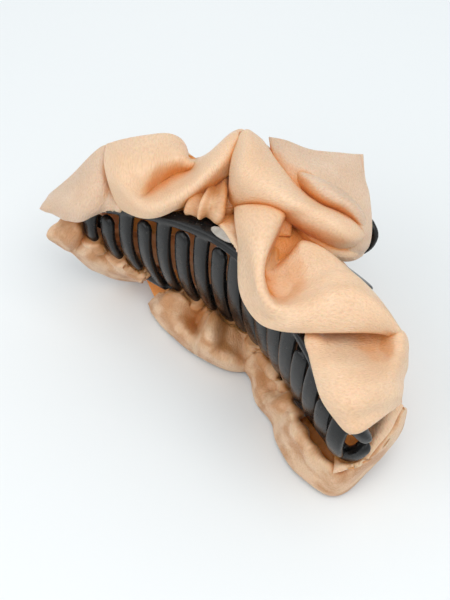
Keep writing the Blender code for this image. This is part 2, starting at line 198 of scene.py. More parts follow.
def loft_into(shape, rings):
    """Adds a closed loft through rings of equally many points to a bmesh."""
    rows = [[shape.verts.new(point) for point in ring] for ring in rings]
    count = len(rows[0])
    faces = [shape.faces.new(rows[0]), shape.faces.new(rows[-1])]
    for first, second in zip(rows, rows[1:]):
        for i in range(count):
            j = (i + 1) % count
            faces.append(shape.faces.new((first[i], first[j], second[j], second[i])))
    bmesh.ops.recalc_face_normals(shape, faces=faces)


def rounded_ring(centre, across, outward, half_width, half_depth, sides, squareness):
    """Points of an ellipse, squarer for a lower squareness, between two directions."""
    ring = []
    for i in range(sides):
        angle = 2 * math.pi * (i + 0.5) / sides
        along = math.copysign(abs(math.cos(angle)) ** squareness, math.cos(angle))
        out = math.copysign(abs(math.sin(angle)) ** squareness, math.sin(angle))
        ring.append(centre + across * half_width * along + outward * half_depth * out)
    return ring


# ---------------- materials

def nodes_of(name, uv_map=None):
    """A new material, its node tree, its main shader, and its UV or object coordinates."""
    made = bpy.data.materials.new(name)
    made.use_nodes = True
    tree = made.node_tree
    if uv_map:
        source = tree.nodes.new("ShaderNodeUVMap")
        source.uv_map = uv_map
        coords = source.outputs["UV"]
    else:
        coords = tree.nodes.new("ShaderNodeTexCoord").outputs["Object"]
    return made, tree, tree.nodes["Principled BSDF"], coords


def fill(tree, node, **values):
    """Gives each named input a constant, or links a socket to it."""
    for key, value in values.items():
        socket = node.inputs[key.replace("_", " ")]
        if isinstance(value, bpy.types.NodeSocket):
            tree.links.new(value, socket)
        else:
            socket.default_value = value
    return node


def texture(tree, kind, coords, **values):
    """Outputs of a new texture node of a kind."""
    node = tree.nodes.new("ShaderNodeTex" + kind)
    return fill(tree, node, Vector=coords, **values).outputs


def ramp(tree, fac, stops):
    """Colour read from stops, each a place and a colour."""
    node = tree.nodes.new("ShaderNodeValToRGB")
    tree.links.new(fac, node.inputs["Fac"])
    elements = node.color_ramp.elements
    for element, (place, colour) in zip(elements, stops):
        element.position = place
        element.color = (*colour, 1.0)
    return node.outputs["Color"]


def spread_over(tree, value, low, high, to_low, to_high):
    """Value from low to high turned into to_low to to_high, and held there beyond."""
    node = tree.nodes.new("ShaderNodeMapRange")
    fill(tree, node, Value=value, From_Min=low, From_Max=high, To_Min=to_low, To_Max=to_high)
    return node.outputs["Result"]


def mixed(tree, factor, first, second, blend_type="MIX"):
    """Colour between first and second."""
    node = tree.nodes.new("ShaderNodeMix")
    node.data_type = "RGBA"
    node.blend_type = blend_type
    return fill(tree, node, Factor=factor, A=first, B=second).outputs["Result"]


def bumped(tree, height, strength, distance, **below):
    """Normal tilted by a height, on top of another Normal where one is given."""
    node = tree.nodes.new("ShaderNodeBump")
    fill(tree, node, Height=height, Strength=strength, Distance=distance, **below)
    return node.outputs["Normal"]


def black_plastic():
    """Glossy black, a little worn and dusty."""
    made, tree, shader, coords = nodes_of("black_plastic")
    clouds = texture(tree, "Noise", coords, Scale=90.0, Detail=3.0)["Fac"]
    colour = ramp(tree, clouds, [(0.3, (0.007, 0.007, 0.007)), (0.7, (0.013, 0.012, 0.012))])
    dust = texture(tree, "Voronoi", coords, Scale=520.0)["Distance"]
    specks = ramp(tree, dust, [(0.035, (1, 1, 1)), (0.06, (0, 0, 0))])
    wear = texture(tree, "Noise", coords, Scale=260.0, Detail=4.0, Roughness=0.65)["Fac"]
    fill(tree, shader, Base_Color=mixed(tree, specks, colour, (0.16, 0.15, 0.14, 1)),
         Roughness=spread_over(tree, wear, 0.35, 0.7, 0.20, 0.33),
         Normal=bumped(tree, wear, 0.12, 0.00012),
         Specular_IOR_Level=0.32, Coat_Weight=0.05, Coat_Roughness=0.12)
    return made


def steel(name, tint, roughness):
    """Bright metal with marks drawn along x."""
    made, tree, shader, coords = nodes_of(name)
    stretch = fill(tree, tree.nodes.new("ShaderNodeMapping"), Vector=coords,
                   Scale=(400, 2600, 2600)).outputs["Vector"]
    drawn = texture(tree, "Noise", stretch, Scale=1.0, Detail=3.0)["Fac"]
    dark = tuple(0.75 * c for c in tint)
    fill(tree, shader, Base_Color=ramp(tree, drawn, [(0.35, dark), (0.65, tint)]),
         Normal=bumped(tree, drawn, 0.2, 0.00004), Metallic=1.0, Roughness=roughness)
    return made


def set_glue():
    """Cloudy, rippled hot-melt glue."""
    made, tree, shader, coords = nodes_of("glue")
    ripple = texture(tree, "Noise", coords, Scale=420.0, Detail=3.0)["Fac"]
    colour = ramp(tree, ripple, [(0.3, (0.62, 0.56, 0.48)), (0.7, (0.86, 0.82, 0.75))])
    fill(tree, shader, Base_Color=colour, Normal=bumped(tree, ripple, 0.5, 0.0002),
         Roughness=0.16, Transmission_Weight=0.55, IOR=1.47)
    return made


def satin(name, warm, pale, fold_shade_colour, patch_scale, contrast, shade_onset):
    """Crepe satin: fine slanted dimples, fine threads, a deeper colour painted inside the folds as painted
    fold shade, and grain that is partly a painted sparkle.
    """
    made, tree, shader, coords = nodes_of(name, uv_map="cloth")
    slanted = fill(tree, tree.nodes.new("ShaderNodeMapping"), Vector=coords,
                   Rotation=(0, 0, math.radians(52)), Scale=(2500, 1150, 1)).outputs["Vector"]
    dimples = texture(tree, "Noise", slanted, Scale=1.0, Detail=2.5, Roughness=0.6)["Fac"]
    broad = texture(tree, "Noise", coords, Scale=patch_scale, Detail=3.0)["Fac"]
    threads = texture(tree, "Wave", coords, Scale=1100.0, Distortion=1.2)["Fac"]
    # Broad patches between two tones: random tone in the open satin; in the lower ruffle's shaded copy
    # they are painted patches of shade on the sheen
    tint = ramp(tree, broad, [(0.49 - contrast, warm), (0.49 + contrast, pale)])
    # Painted fold shade: where the stored attribute says a point is enclosed, the colour is mixed towards
    # the fold shade colour
    tuck = tree.nodes.new("ShaderNodeAttribute")
    tuck.attribute_name = "tuck"
    share = spread_over(tree, tuck.outputs["Fac"], shade_onset, 0.74, 0, 1)
    fold_shaded = mixed(tree, share, tint, (*fold_shade_colour, 1))
    # Grain of the dimples, partly the weave's own grain and partly a painted sparkle of sheen on their
    # crests
    grain_and_sparkle = ramp(tree, dimples, [(0.3, (0.84, 0.80, 0.76)), (0.62, (1, 1, 1))])
    fill(tree, shader, Base_Color=mixed(tree, 0.8, fold_shaded, grain_and_sparkle, "MULTIPLY"),
         Roughness=spread_over(tree, dimples, 0.3, 0.7, 0.50, 0.28),
         Normal=bumped(tree, dimples, 0.9, 0.00034, Normal=bumped(tree, threads, 0.25, 0.00005)),
         Specular_IOR_Level=0.6, Sheen_Weight=0.2, Sheen_Roughness=0.35,
         Sheen_Tint=(1.0, 0.86, 0.70, 1), Subsurface_Weight=0.2,
         Subsurface_Radius=(1.0, 0.38, 0.16), Subsurface_Scale=0.002)
    return made


# ---------------- jaws

def arch(x):
    """How far the row bends back at x."""
    share = abs(x) / ROW_HALF
    curve = math.hypot(share, ARCH_ROUNDING) - ARCH_ROUNDING
    return ARCH_DEPTH * curve / (math.hypot(1, ARCH_ROUNDING) - ARCH_ROUNDING)


def reach(x):
    """How far a tooth at x reaches past the middle, and its rail stands from it."""
    return REACH_MIDDLE - REACH_LOSS * min(abs(x) / ROW_HALF, 1.0) ** REACH_POWER


def rail_centre(x, side):
    return Vector((x, WALL_Y - arch(x) + RAIL_BEHIND, side * (reach(x) + RAIL_BEYOND)))


def rail_route(side):
    """Points along a rail: the arch, and the turned end on either side of it."""
    corner = rail_centre(END_START, side)
    end = []
    for i in range(1, END_STEPS + 1):
        angle = END_TURN * i / END_STEPS
        along = END_LENGTH * math.sin(angle)
        back = END_BACK * (1 - math.cos(angle)) - END_SLOPE * along
        end.append(Vector((corner.x + along, corner.y + back, corner.z * math.cos(angle))))
    middle = [rail_centre(END_START * (2 * i / RAIL_STEPS - 1), side)
              for i in range(RAIL_STEPS + 1)]
    route = [Vector((-p.x, p.y, p.z)) for p in reversed(end)] + middle + end
    for _ in range(RAIL_EASING):
        inner = [(a + 2 * b + c) / 4 for a, b, c in zip(route, route[1:], route[2:])]
        route = [route[0]] + inner + [route[-1]]
    return route


def add_rail(shape, side):
    route = rail_route(side)
    last = len(route) - 1
    rings = []
    for i, centre in enumerate(route):
        along = (route[min(i + 1, last)] - route[max(i - 1, 0)]).normalized()
        depth = along.cross(Vector((0, 0, 1))).normalized()
        from_end = min(min(i, last - i) / 3, 1.0)
        size = math.sqrt(1 - (1 - from_end) ** 2) * 0.7 + 0.3
        rings.append(rounded_ring(centre, depth, along.cross(depth), RAIL_HALF_DEPTH * size,
                                  RAIL_HALF_HEIGHT * size, SIDES, RAIL_SQUARENESS))
    loft_into(shape, rings)


def add_tooth(shape, slot, side):
    x = slot * TOOTH_PITCH
    top = reach(x) + RAIL_BEYOND
    bottom = -reach(x)
    centres = []
    for i in range(TOOTH_STEPS + 1):
        z = top + (bottom - top) * i / TOOTH_STEPS
        y = WALL_Y - arch(x) - TOOTH_FRONT + TOOTH_BULGE * (z / top) ** 2
        centres.append(Vector((x, y, side * z)))
    length = top - bottom
    rings = []
    for i, centre in enumerate(centres):
        step = centres[min(i + 1, TOOTH_STEPS)] - centres[max(i - 1, 0)]
        outward = step.cross(SIDEWAYS).normalized()
        from_tip = min((TOOTH_STEPS - i) / TOOTH_STEPS * length / TOOTH_TIP, 1.0)
        size = max(math.sqrt(1 - (1 - from_tip) ** 2), 0.12)
        rings.append(rounded_ring(centre, SIDEWAYS, outward, TOOTH_HALF_WIDTH * size,
                                  TOOTH_HALF_DEPTH * size, SIDES, TOOTH_SQUARENESS))
    loft_into(shape, rings)


def plate_at(share):
    """Row of PLATE at a share of its length, smooth between the rows given."""
    place = share * (len(PLATE) - 1)
    i = min(int(place), len(PLATE) - 2)
    t = place - i
    a, b, c, d = [Vector(PLATE[min(max(k, 0), len(PLATE) - 1)]) for k in range(i - 1, i + 3)]
    return 0.5 * (2 * b + (c - a) * t + (2 * a - 5 * b + 4 * c - d) * t ** 2
                  + (3 * b - a - 3 * c + d) * t ** 3)


def add_plate(shape, side):
    """Web and handle in one piece, bent with the arch where it leaves the rail."""
    rings = []
    for i in range(PLATE_STEPS + 1):
        y, z, half_width = plate_at(i / PLATE_STEPS)
        before = plate_at(max(i - 1, 0) / PLATE_STEPS)
        after = plate_at(min(i + 1, PLATE_STEPS) / PLATE_STEPS)
        slope = Vector((0, after.x - before.x, side * (after.y - before.y))).normalized()
        sweep = max(0.0, 1 - i / PLATE_STEPS * 3.4)
        thick = PLATE_HALF_THICKNESS * (0.75 if i in (0, PLATE_STEPS) else 1.0)
        ring = rounded_ring(Vector((0, y * MM, side * z * MM)), SIDEWAYS, SIDEWAYS.cross(slope),
                            half_width * MM, thick, PLATE_SIDES, PLATE_SQUARENESS)
        rings.append([p - Vector((0, arch(p.x), side * (REACH_MIDDLE - reach(p.x)))) * sweep
                      for p in ring])
    loft_into(shape, rings)


def add_grip(shape, side):
    """Low ribs across the handle's outer face, where the finger presses."""
    for share in GRIP_PLACES:
        y, z, half_width = plate_at(share)
        before, after = plate_at(share - 0.02), plate_at(share + 0.02)
        slope = Vector((0, after.x - before.x, side * (after.y - before.y))).normalized()
        out = SIDEWAYS.cross(slope)
        out *= -1 if out.z * side < 0 else 1
        centre = Vector((0, y * MM, side * z * MM)) + out * PLATE_HALF_THICKNESS
        rings = []
        for x in (-0.72, -0.69, 0.69, 0.72):
            size = 0.4 if abs(x) > 0.7 else 1.0
            rings.append(rounded_ring(centre + Vector((x * half_width * MM, 0, 0)), slope, out,
                                      GRIP_RADIUS * size, GRIP_RADIUS * size, RIB_SIDES, 1.0))
        loft_into(shape, rings)


def add_lug(shape, x, side):
    """Hinge lug: half a disc round the pin, with a straight part up to the plate."""
    outline = []
    for i in range(LUG_STEPS + 1):
        angle = math.pi * i / LUG_STEPS
        outline.append((LUG_RADIUS * math.cos(angle), -LUG_RADIUS * math.sin(angle)))
    outline.append((-LUG_RADIUS, LUG_TOP))
    outline.append((LUG_RADIUS, LUG_TOP - LUG_SLOPE))
    rings = [[Vector((x + end * LUG_WIDTH / 2, y, side * z)) for y, z in outline]
             for end in (-1, 1)]
    loft_into(shape, rings)


def make_jaw(name, side, slots, lug_x, finish):
    """One moulding: its pieces are drawn, then fused and softened where they meet.

    The modifiers that do this are applied to its mesh and then removed.
    """
    shape = bmesh.new()
    add_rail(shape, side)
    add_plate(shape, side)
    add_grip(shape, side)
    for x in (-lug_x, lug_x):
        add_lug(shape, x, side)
    for slot in slots:
        add_tooth(shape, slot, side)
    for vert in shape.verts:
        vert.co = lean(vert.co)
    jaw = add_shape(name, shape, finish)
    fuse = jaw.modifiers.new("fuse", "REMESH")
    fuse.mode = "VOXEL"
    fuse.voxel_size = VOXEL
    soften = jaw.modifiers.new("soften", "SMOOTH")
    soften.factor = 0.5
    soften.iterations = 4
    graph = bpy.context.evaluated_depsgraph_get()
    mesh = bpy.data.meshes.new_from_object(jaw.evaluated_get(graph))
    jaw.modifiers.clear()
    jaw.data = mesh
    mesh.shade_smooth()
    return jaw


# ---------------- pin and spring

def spring_leg(side):
    """Points of one leg, from its free end in to the coil."""
    points = []
    for i in range(LEG_STEPS + 1):
        t = i / LEG_STEPS
        y = SPRING_LEG_Y * (1 - t) + SPRING_LEG_END * t
        z = SPRING_LEG_Z + (SPRING_RADIUS - SPRING_LEG_Z) * t ** 0.8
        points.append(Vector((-side * SPRING_HALF_LENGTH, y, side * z)))
    return points


def make_spring(finish):
    """Coil on the pin, with a leg that presses on each jaw's plate."""
    points = spring_leg(1)
    steps = int(SPRING_TURNS * COIL_STEPS)
    for i in range(steps + 1):
        angle = math.pi / 2 + 2 * math.pi * i / COIL_STEPS
        x = -SPRING_HALF_LENGTH + 2 * SPRING_HALF_LENGTH * i / steps
        points.append(Vector((x, SPRING_RADIUS * math.cos(angle),
                              SPRING_RADIUS * math.sin(angle))))
    points += spring_leg(-1)[::-1]
    route = [lean(p) for p in points]
    shape = bmesh.new()
    aside = SIDEWAYS
    rings = []
    for i, point in enumerate(route):
        along = (route[min(i + 1, len(route) - 1)] - route[max(i - 1, 0)]).normalized()
        aside = (aside - along * aside.dot(along)).normalized()
        rings.append(rounded_ring(point, aside, along.cross(aside),
                                  WIRE_RADIUS, WIRE_RADIUS, WIRE_SIDES, 1.0))
    loft_into(shape, rings)
    return add_shape("spring_coil", shape, finish)


# ---------------- satin

def spline(points, places):
    """Catmull-Rom through points (n, ..., 3) at places from 0 to n - 1."""
    points = np.asarray(points, float)
    padded = np.concatenate([2 * points[:1] - points[1:2], points,
                             2 * points[-1:] - points[-2:-1]])
    i = np.minimum(places.astype(int), len(points) - 2)
    t = (places - i).reshape(-1, *([1] * (points.ndim - 1)))
    a, b, c, d = padded[i], padded[i + 1], padded[i + 2], padded[i + 3]
    return 0.5 * (2 * b + (c - a) * t + (2 * a - 5 * b + 4 * c - d) * t ** 2
                  + (3 * b - a - 3 * c + d) * t ** 3)


def edge_places(count, steps, length):
    """Places along a spline, closer together near its two ends, where the cloth rolls."""
    near = np.array(EDGE_ROWS) * MM / max(length, MM) * (count - 1)
    middle = np.linspace(0, count - 1, steps + 1)[1:-1]
    middle = middle[(middle > near[-1] * 1.4) & (middle < count - 1 - near[-1] * 1.4)]
    return np.concatenate([near, middle, (count - 1 - near)[::-1]])


def tree_of(pieces):
    """Search tree of the surfaces of pieces."""
    points = []
    faces = []
    for piece in pieces:
        base = len(points)
        points += [vert.co.copy() for vert in piece.data.vertices]
        faces += [[base + v for v in face.vertices] for face in piece.data.polygons]
    return BVHTree.FromPolygons(points, faces)


def push_off(jaws, grid, gap):
    """Moves the points of grid that are within gap of the jaws, or in them, out to gap."""
    flat = grid.reshape(-1, 3)
    for k, point in enumerate(flat):
        near, normal, _, _ = jaws.find_nearest(Vector(point), REACH_OF_PUSH)
        if near is None:
            continue
        depth = (Vector(point) - near).dot(normal)
        if depth < gap:
            flat[k] = near + normal * gap
    return flat.reshape(grid.shape)


def arc_along(line):
    """How far along a line of points each of them is."""
    return np.concatenate([[0], np.cumsum(np.linalg.norm(np.diff(line, axis=0), axis=1))])


def eased(grid, passes):
    """Grid with each inner point moved to the mean of its neighbours, passes times."""
    for _ in range(passes):
        grid[1:-1, 1:-1] += 0.5 * (0.25 * (grid[:-2, 1:-1] + grid[2:, 1:-1] + grid[1:-1, :-2]
                                           + grid[1:-1, 2:]) - grid[1:-1, 1:-1])
    return grid


def wrinkles(arc_u, arc_v, seed, size, depth):
    """Height of the cloth's small wrinkles, longer along v than along u."""
    heights = np.zeros((len(arc_u), len(arc_v)))
    for i, u in enumerate(arc_u):
        for j, v in enumerate(arc_v):
            place = Vector((u / size + seed * 7.3, v / (size * 1.9) + seed * 3.1, seed * 1.7))
            ridge = 1 - 2 * abs(noise.noise(place))
            heights[i, j] = (0.55 * ridge + 0.6 * noise.noise(place * 0.5)
                             + 0.18 * noise.noise(place * 3.1))
    return heights * depth


def gathered(arc_u, arc_v, side, count, depth, length, seed):
    """Pleats that run in from one side of the cloth and die away over length."""
    share_u = (arc_u / arc_u[-1])[:, None]
    share_v = (arc_v / arc_v[-1])[None, :]
    along, away = {
        "start": (share_v, arc_u[:, None]), "front": (share_u, arc_v[None, :]),
        "back": (share_u, (arc_v[-1] - arc_v)[None, :]),
    }[side]
    bend = np.array([noise.noise(Vector((s * 5, seed * 9.1, 0))) for s in along.ravel()])
    phase = 2 * math.pi * (count * along + 0.5 * bend.reshape(along.shape))
    strength = np.array([0.75 + 0.6 * noise.noise(Vector((s * 9, seed * 4.7, 3)))
                         for s in along.ravel()]).reshape(along.shape)
    pleat = np.sign(np.cos(phase)) * np.abs(np.cos(phase)) ** 0.8
    return depth * pleat * strength * np.exp(-(away / length) ** 1.5)


def patch(start_front, start_back, end_front, end_back, bulge):
    """Grid of points over four corners, pushed out by bulge at its middle."""
    corners = [Vector(c) for c in (start_front, start_back, end_front, end_back)]
    grid = []
    for i in range(PATCH_POINTS):
        u = i / (PATCH_POINTS - 1)
        row = []
        for j in range(PATCH_POINTS):
            v = j / (PATCH_POINTS - 1)
            start = corners[0].lerp(corners[1], v)
            end = corners[2].lerp(corners[3], v)
            row.append(start.lerp(end, u) + Vector(bulge) * 16 * u * (1 - u) * v * (1 - v))
        grid.append(row)
    return grid


def cloth(name, ribs, finish, jaws, seed, thick=0.8, puff=2.5, wrinkle=0.25, size=8.0,
          gathers=None, least_shade=0.0):
    """Sewn tube of satin: an upper layer through ribs and a lower one, rolled at its edges.

    ribs is a grid of points in millimetres, and so are thick, half the tube's thickness
    near its edges, puff, how far its lower layer hangs below that away from its edges, and
    wrinkle and size, the height and width of its wrinkles. gathers gives its pleats' side,
    count, depth and length, and least_shade is the least painted fold shade that the piece gets.
    """
    ribs = np.array(ribs, float) * MM
    rows, columns = ribs.shape[:2]
    long_way = np.linalg.norm(np.diff(ribs[:, columns // 2], axis=0), axis=1).sum()
    short_way = np.linalg.norm(np.diff(ribs[rows // 2], axis=0), axis=1).sum()
    u = edge_places(rows, STEPS_ALONG * (rows - 1), long_way)
    v = edge_places(columns, STEPS_ACROSS * (columns - 1), short_way)
    grid = spline(ribs, u)
    grid = spline(grid.transpose(1, 0, 2), v).transpose(1, 0, 2).copy()
    for _ in range(2):
        grid = eased(push_off(jaws, grid, (thick + FIRST_GAP) * MM), 4)
    normal = np.cross(np.gradient(grid, axis=0), np.gradient(grid, axis=1))
    normal /= np.maximum(np.linalg.norm(normal, axis=2, keepdims=True), 1e-12)
    turned = normal[..., 2].mean() < 0
    if turned:
        normal = -normal
    count_u, count_v = grid.shape[:2]
    arc_u = arc_along(grid[:, count_v // 2])
    arc_v = arc_along(grid[count_u // 2])
    from_edge = np.minimum(np.minimum(arc_u, arc_u[-1] - arc_u)[:, None],
                           np.minimum(arc_v, arc_v[-1] - arc_v)[None, :])
    roll = np.sqrt(1 - (1 - np.clip(from_edge / (1.5 * thick * MM), 0, 1)) ** 2)
    half = thick * MM * roll
    small = wrinkles(arc_u, arc_v, seed, size * MM, wrinkle * MM)
    small *= np.clip(from_edge / WRINKLE_RUN, 0.3, 1)
    if gathers:
        side, count, depth, length = gathers
        small += gathered(arc_u, arc_v, side, count, depth * MM, length * MM, seed)
    hang = puff * MM * np.clip(from_edge / HANG_RUN, 0, 1) ** 0.7
    top = push_off(jaws, grid + normal * (half + small)[..., None], TOP_GAP)
    bottom = eased(grid + normal * (0.6 * small - half - hang)[..., None], 3)
    bottom = np.where((from_edge > 0)[..., None], push_off(jaws, bottom, BOTTOM_GAP), top)
    for layer in (top, bottom):
        layer[..., 2] = np.maximum(layer[..., 2], TABLE_GAP)
    shape = bmesh.new()
    uv = shape.loops.layers.uv.new("cloth")
    tops = [[shape.verts.new(p) for p in row] for row in top]
    bottoms = [[tops[i][j] if from_edge[i, j] <= 0 else shape.verts.new(bottom[i, j])
                for j in range(count_v)] for i in range(count_u)]
    for i in range(count_u - 1):
        for j in range(count_v - 1):
            cells = ((i, j), (i + 1, j), (i + 1, j + 1), (i, j + 1))
            if turned:
                cells = cells[::-1]
            for layer, order in ((tops, cells), (bottoms, cells[::-1])):
                face = shape.faces.new([layer[a][b] for a, b in order])
                for loop, (a, b) in zip(face.loops, order):
                    loop[uv].uv = (arc_u[a], arc_v[b])
    obj = add_shape(name, shape, finish)
    # Floor of the painted fold shade in the satin's colour
    obj["least_tuck"] = least_shade
    obj["flat"] = [float(arc_u[-1]), float(arc_v[-1])]
    obj["area"] = float(np.linalg.norm(np.cross(
        np.diff(grid, axis=0)[:, :-1], np.diff(grid, axis=1)[:-1]), axis=2).sum())
    return obj


def paint_fold_shade(pieces, others):
    """Stores how enclosed each point of the cloth is, from 0 in the open to 1 in a fold, as the attribute
    that paints fold shade into the satin's colour.
    """
    tree = tree_of(pieces + others)
    rays = []
    for k in range(FOLD_SHADE_RAYS):
        lift = 1 - (k + 0.5) / FOLD_SHADE_RAYS * 0.9
        turn = k * math.pi * (3 - math.sqrt(5))
        flat = math.sqrt(1 - lift * lift)
        rays.append(Vector((flat * math.cos(turn), flat * math.sin(turn), lift)))
    for piece in pieces:
        mesh = piece.data
        found = np.zeros(len(mesh.vertices))
        for k, vert in enumerate(mesh.vertices):
            turn = vert.normal.to_track_quat("Z", "Y").to_matrix()
            start = vert.co + vert.normal * FOLD_SHADE_START
            found[k] = sum(tree.ray_cast(start, turn @ ray, FOLD_SHADE_REACH)[0] is not None
                           for ray in rays) / FOLD_SHADE_RAYS
        edges = np.array([edge.vertices[:] for edge in mesh.edges])
        for _ in range(3):
            total = np.zeros(len(found))
            count = np.zeros(len(found))
            for a, b in ((0, 1), (1, 0)):
                np.add.at(total, edges[:, a], found[edges[:, b]])
                np.add.at(count, edges[:, a], 1)
            found = 0.5 * found + 0.5 * total / count
        least = piece["least_tuck"]
        mesh.attributes.new("tuck", "FLOAT", "POINT").data.foreach_set(
            "value", least + (1 - least) * found)


# Folds: rows of points on the cloth, in millimetres, from one end of the fold to the other
WING_LEFT = [
    [(-58.5, -41.5, 31), (-58, -41, 32), (-58, -40, 32.5), (-59, -38, 32.5)],
    [(-51, -41, 33), (-51, -40, 36), (-51.5, -37, 38.5), (-55.5, -31.5, 38.5)],
    [(-45, -39.5, 34.5), (-44, -38, 39.5), (-46, -33, 43.5), (-53.5, -24.5, 44)],
    [(-42, -36.5, 36), (-40.5, -35, 40.5), (-43.5, -30, 45), (-52.5, -21, 45.5)],
    [(-40, -33.5, 37.5), (-39, -32, 41), (-42, -27.5, 44), (-50.5, -18.5, 45)],
    [(-34, -31, 41.5), (-34, -30.5, 42.5), (-40, -25, 43), (-50, -15, 44)],
]
LOBE_AND_ARM = [
    [(-34.5, -31, 41.5), (-37, -31, 44.5), (-41, -29.5, 47), (-46, -26.5, 48), (-51.5, -21.5, 46.5)],
    [(-30, -30.5, 42), (-32, -30.5, 46), (-35, -29, 50), (-39.5, -25, 51.5), (-48, -18, 48.5)],
    [(-26, -29.5, 43), (-28, -29.5, 46.5), (-30.5, -27.5, 47.5), (-33, -23, 52.5), (-43.5, -13, 50)],
    [(-22.5, -27.5, 45), (-24, -28, 48), (-31, -23, 45.5), (-32, -18, 52), (-39.5, -9, 50.5)],
    [(-20.5, -24.5, 46.5), (-21.5, -24, 50), (-30, -16.5, 46), (-30, -14, 51.5), (-36, -7.5, 49)],
    [(-19.5, -20, 47), (-19, -19.5, 52.5), (-27, -12.5, 47.5), (-27.5, -12.5, 50), (-31.5, -9.5, 47)],
    [(-18, -15.5, 49), (-18, -15, 54.5), (-23, -12, 52.5), (-27, -8.5, 49), (-30.5, -4.5, 45)],
    [(-17, -12, 50.5), (-17.5, -11, 56), (-21.5, -8, 56), (-25, -3.5, 52), (-28.5, 1.5, 47)],
    [(-16, -9, 52), (-17.5, -7.5, 57), (-20.5, -5, 58), (-24.5, 0, 54), (-27.5, 5, 49)],
    [(-17.5, -4.5, 53), (-18, -3.5, 57), (-20.5, -1, 58.5), (-22, 2, 56), (-24.5, 5.5, 51)],
]
TUFT = [
    [(-21, -19.5, 44), (-15.5, -22.5, 47), (-12.5, -21.5, 47.5), (-10.5, -19.5, 47), (-10.5, -15, 45)],
    [(-20.5, -19.5, 46), (-16, -21.5, 48.5), (-12.5, -20.5, 49.5), (-10, -18.5, 49.5), (-10, -14, 47.5)],
    [(-20.5, -17.5, 46.5), (-16.5, -19.5, 49.5), (-13, -19, 51), (-11, -17, 51), (-10.5, -12, 49)],
    [(-21.5, -15.5, 46), (-17.5, -16.5, 49), (-14.5, -16.5, 51), (-13, -14, 51.5), (-12.5, -9.5, 50)],
    [(-21, -13.5, 46), (-19, -13, 48), (-17.5, -12.5, 49.5), (-16.5, -9.5, 50), (-16, -5.5, 49.5)],
    [(-21.5, -11, 46), (-20, -10, 47.5), (-19, -8.5, 49), (-19, -5.5, 50), (-19, -1.5, 49)],
]
HOOD_AND_ROLL = [
    [(-18.5, -3.5, 57.5), (-19.5, -1.5, 58.5), (-20, 0, 58.5), (-20.5, 1.5, 57), (-22.5, 5, 52)],
    [(-15.5, -8.5, 56), (-13.5, -6.5, 60), (-14, -3, 60), (-15, 1, 57), (-17.5, 5, 51)],
    [(-13, -11.5, 53), (-8.5, -12, 59.5), (-7.5, -7.5, 60), (-8.5, -1.5, 56.5), (-10, 3, 50)],
    [(-11, -13.5, 50), (-5.5, -13, 56.5), (-2.5, -9, 58.5), (-2, -2.5, 55), (-3, 2, 48.5)],
    [(-10, -13.5, 47), (-3, -12, 53), (3, -8.5, 57), (3, -2, 53), (2.5, 2, 47)],
    [(-5, -8, 45.5), (3.5, -8.5, 52), (8, -6.5, 55.5), (8, -1, 52), (6.5, 3.5, 46)],
    [(2.5, -5, 45), (9, -7.5, 51.5), (12.5, -5, 54.5), (11.5, 0, 52), (10.5, 5, 46)],
    [(9.5, -5, 45), (14, -5, 49.5), (16.5, -3, 52.5), (15.5, 2, 50.5), (14.5, 6, 45)],
    [(14.5, -2.5, 43.5), (17, -2, 47), (18.5, -1, 49.5), (18, 2.5, 48.5), (16.5, 6, 44)],
    [(16.5, 2.5, 42), (18, 2.5, 44.5), (18.5, 3, 46), (18.5, 4, 46), (17.5, 6.5, 43)],
]
